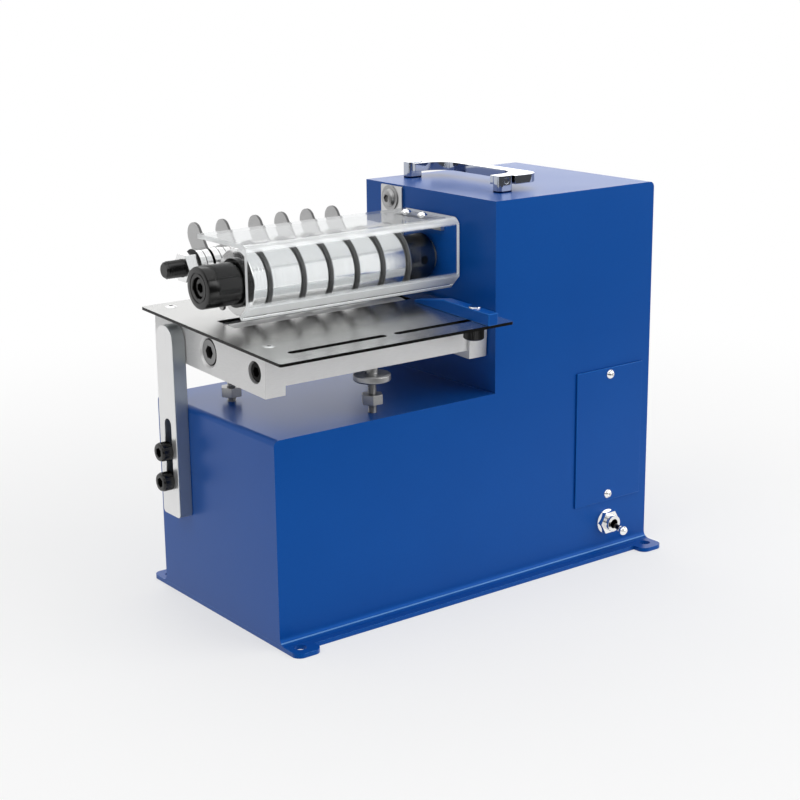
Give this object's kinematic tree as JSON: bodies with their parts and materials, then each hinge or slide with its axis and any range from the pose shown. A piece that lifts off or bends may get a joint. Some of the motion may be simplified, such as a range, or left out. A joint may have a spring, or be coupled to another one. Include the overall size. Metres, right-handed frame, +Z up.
{
  "type": "strap cutting machine",
  "caption": "Bench strap cutter: blue sheet housing, overhung shaft of round knives over a roller in a tilting steel table, clear guard, stripper fingers, sliding fence and carrying handle.",
  "frame": {"origin": "middle of the four foot holes, on the floor under the base plate", "axes": "+X along the blade shaft towards the drive box, +Y from the feed side to the back, +Z up"},
  "size_m": [0.344, 0.1889, 0.2815],
  "materials": {
    "blue_paint": "smooth gloss paint",
    "chrome": "bright plating",
    "dark_plastic": "satin",
    "machined_steel": "fine machined",
    "sheet_steel": "satin",
    "stainless": "brushed",
    "blade_steel": "ground",
    "turned_aluminium": "turned",
    "plain_aluminium": "as cast",
    "black_oxide": "black oxide",
    "motor_paint": "satin paint",
    "bronze": "sintered",
    "clear_acrylic": "clear"
  },
  "bodies": {
    "frame": {"housing": "blue_paint", "base_plate": "blue_paint", "access_cover": "blue_paint", "button_screws": "chrome", "switch_body": "dark_plastic", "switch_nut": "chrome", "handle_lugs": "chrome", "bearing_block": "machined_steel", "shaft_bearings": "machined_steel", "drive_plate": "plain_aluminium", "gearbox": "plain_aluminium", "motor": "motor_paint", "stripper_rod": "black_oxide", "rod_nuts": "machined_steel", "rod_spacers": "turned_aluminium", "finger_1": "sheet_steel", "finger_2": "sheet_steel", "finger_3": "sheet_steel", "finger_4": "sheet_steel", "finger_5": "sheet_steel", "finger_6": "sheet_steel", "rod_bracket": "sheet_steel", "bracket_bolt": "chrome", "guard": "clear_acrylic", "guard_bracket": "sheet_steel", "support_bar": "machined_steel", "bar_screws": "black_oxide", "pivot_pins": "machined_steel", "jack_studs": "machined_steel", "jack_nuts": "chrome", "cable_gland": "dark_plastic"},
    "blades": {"blade_shaft": "machined_steel", "blade_1": "blade_steel", "blade_2": "blade_steel", "blade_3": "blade_steel", "blade_4": "blade_steel", "blade_5": "blade_steel", "blade_6": "blade_steel", "blade_spacers": "turned_aluminium", "clamp_flange": "black_oxide", "end_cap": "black_oxide", "end_cap_screw": "black_oxide", "shaft_collar": "turned_aluminium", "blade_gear": "machined_steel"},
    "motor_drive": {"motor_pinion": "machined_steel"},
    "table": {"table_plate": "stainless", "left_end_plate": "machined_steel", "right_end_plate": "machined_steel", "front_rail": "machined_steel", "rear_rail": "machined_steel", "table_screws": "machined_steel", "frame_screws": "black_oxide", "anvil_axle": "machined_steel"},
    "anvil": {"anvil_roller": "machined_steel", "anvil_bushes": "bronze"},
    "fence_bar": {"fence": "blue_paint", "fence_screw": "chrome"},
    "jack": {"thumb_wheel": "machined_steel"},
    "toggle": {"toggle_lever": "chrome"},
    "handle": {"handle_bail": "chrome"}
  },
  "joints": [
    {"name": "blade_spin", "type": "hinge", "parent": "frame", "child": "blades", "pos_m": [0, 0.0032, 0.2242], "axis": [1, 0, 0], "continuous": true},
    {"name": "motor_spin", "type": "hinge", "parent": "frame", "child": "motor_drive", "pos_m": [0, 0.0032, 0.1672], "axis": [1, 0, 0], "continuous": true},
    {"name": "table_tilt", "type": "hinge", "parent": "frame", "child": "table", "pos_m": [0, 0.04, 0.183], "axis": [-1, 0, 0], "range_deg": [0, 2.5]},
    {"name": "anvil_spin", "type": "hinge", "parent": "table", "child": "anvil", "pos_m": [0, 0.00324, 0.18139], "axis": [1, 0, 0], "continuous": true},
    {"name": "fence_slide", "type": "slide", "parent": "table", "child": "fence_bar", "axis": [1, 0, 0], "range_m": [-0.06, 0.005]},
    {"name": "jack_lift", "type": "slide", "parent": "frame", "child": "jack", "axis": [0, 0, 1], "range_m": [0, 0.0043]},
    {"name": "switch_flip", "type": "hinge", "parent": "frame", "child": "toggle", "pos_m": [0.123, -0.0775, 0.0243], "axis": [-1, 0, 0], "range_deg": [0, 24]},
    {"name": "handle_fold", "type": "hinge", "parent": "frame", "child": "handle", "pos_m": [0.048, 0.00875, 0.278], "axis": [0, -1, 0], "range_deg": [0, 90]}
  ],
  "couplings": [
    {"joint": "motor_spin", "follows": "blade_spin", "ratio": -2},
    {"joint": "jack_lift", "follows": "table_tilt", "m_per_rad": 0.0969}
  ]
}
